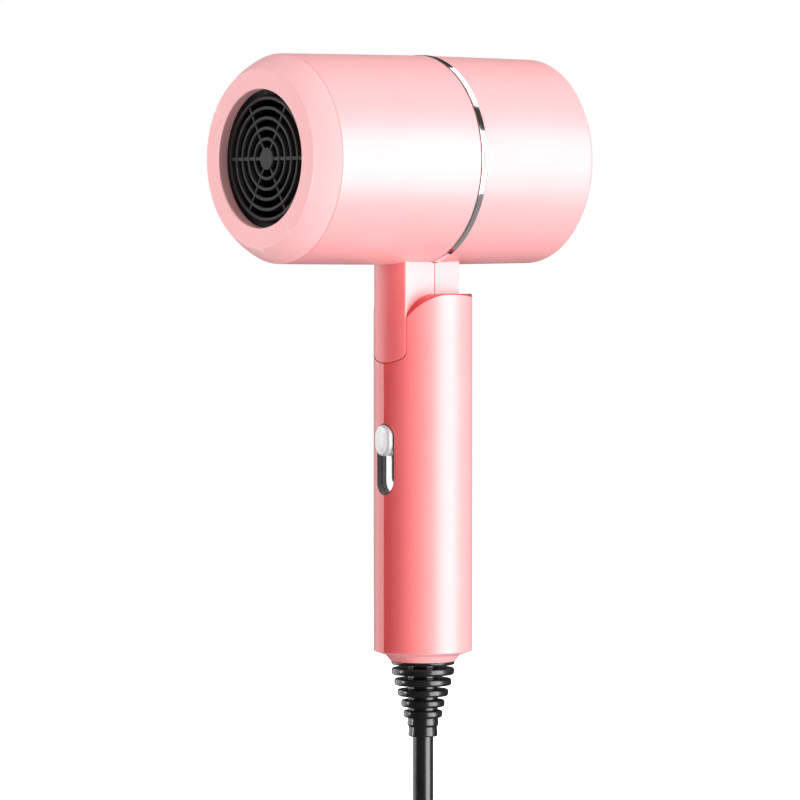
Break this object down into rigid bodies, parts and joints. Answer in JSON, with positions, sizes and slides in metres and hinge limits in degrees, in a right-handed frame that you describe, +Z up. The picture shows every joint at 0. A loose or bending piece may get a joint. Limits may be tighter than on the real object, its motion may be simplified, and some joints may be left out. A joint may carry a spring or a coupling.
{
  "type": "travel hair dryer",
  "caption": "Hammer-shaped folding travel hair dryer: round barrel with outlet and intake grilles on a round handle that folds back, with a slide switch and a cord stub.",
  "frame": {"origin": "centre of the rear cover's flat outer face, on the barrel's axis", "axes": "+Y along the barrel towards the rear intake, so air leaves towards -Y; +Z up, with the unfolded handle hanging along -Z; +X to the right of someone looking along +Y"},
  "size_m": [0.0742, 0.1208, 0.2871],
  "materials": {
    "pink_shell": "pearl pink lacquered plastic, satin gloss",
    "chrome_trim": "polished chrome plating on plastic",
    "grille_grey": "dark grey heat-resistant plastic, satin",
    "filter_mesh": "fine woven steel mesh",
    "black_plastic": "black moulded plastic",
    "black_rubber": "black soft plastic, semi-gloss",
    "steel": "zinc-plated steel",
    "bronze": "sintered bronze",
    "ferrite": "dark grey ferrite and carbon",
    "mica": "pressed mica sheet",
    "heater_wire": "dull resistance wire",
    "circuit_board": "green printed board",
    "core_brown": "brown insulated wire",
    "core_blue": "blue insulated wire"
  },
  "bodies": {
    "head": {"nose_cap": "pink_shell", "front_housing": "pink_shell", "rear_housing": "pink_shell", "trim_ring": "chrome_trim", "outlet_grille": "grille_grey", "rear_cover": "grille_grey", "dust_filter": "filter_mesh", "housing_screw_left": "steel", "housing_screw_right": "steel", "neck_screw": "steel", "motor_duct": "black_plastic", "motor_can": "steel", "motor_end_cap": "black_plastic", "motor_magnet_left": "ferrite", "motor_magnet_right": "ferrite", "motor_brush_left": "ferrite", "motor_brush_right": "ferrite", "motor_bush_rear": "bronze", "motor_bush_front": "bronze", "rectifier_board": "circuit_board", "heat_shield": "mica", "heater_board_upright": "mica", "heater_board_level": "mica", "heater_coil_rear": "heater_wire", "heater_coil_front": "heater_wire", "thermostat": "steel", "thermal_fuse": "steel", "head_lead_live": "core_brown", "head_lead_neutral": "core_blue"},
    "fan": {"fan_impeller": "black_plastic", "motor_shaft": "steel", "motor_armature": "steel", "motor_commutator": "bronze"},
    "handle": {"handle_shell_left": "pink_shell", "handle_shell_right": "pink_shell", "handle_screw_upper": "steel", "handle_screw_lower": "steel", "hinge_pin": "steel", "friction_washer_left": "black_plastic", "friction_washer_right": "black_plastic", "switch_bezel": "chrome_trim", "slide_switch_body": "black_plastic", "speed_diode": "black_plastic", "handle_lead_live": "core_brown", "handle_lead_neutral": "core_blue", "cord_clamp": "black_plastic", "cord_clamp_screw_front": "steel", "cord_clamp_screw_rear": "steel", "strain_relief_boot": "black_rubber", "power_cord": "black_rubber", "cord_core_live": "core_brown", "cord_core_neutral": "core_blue"},
    "switch": {"switch_button": "chrome_trim", "switch_carriage": "black_plastic", "switch_lever": "black_plastic"}
  },
  "joints": [
    {"name": "handle_fold", "type": "hinge", "parent": "head", "child": "handle", "pos_m": [0, -0.05075, -0.0604], "axis": [1, 0, 0], "range_deg": [0, 90]},
    {"name": "switch_slide", "type": "slide", "parent": "handle", "child": "switch", "axis": [0, 0, -1], "range_m": [0, 0.0115]},
    {"name": "fan_spin", "type": "hinge", "parent": "head", "child": "fan", "pos_m": [0, -0.018, 0], "axis": [0, 1, 0], "continuous": true}
  ]
}
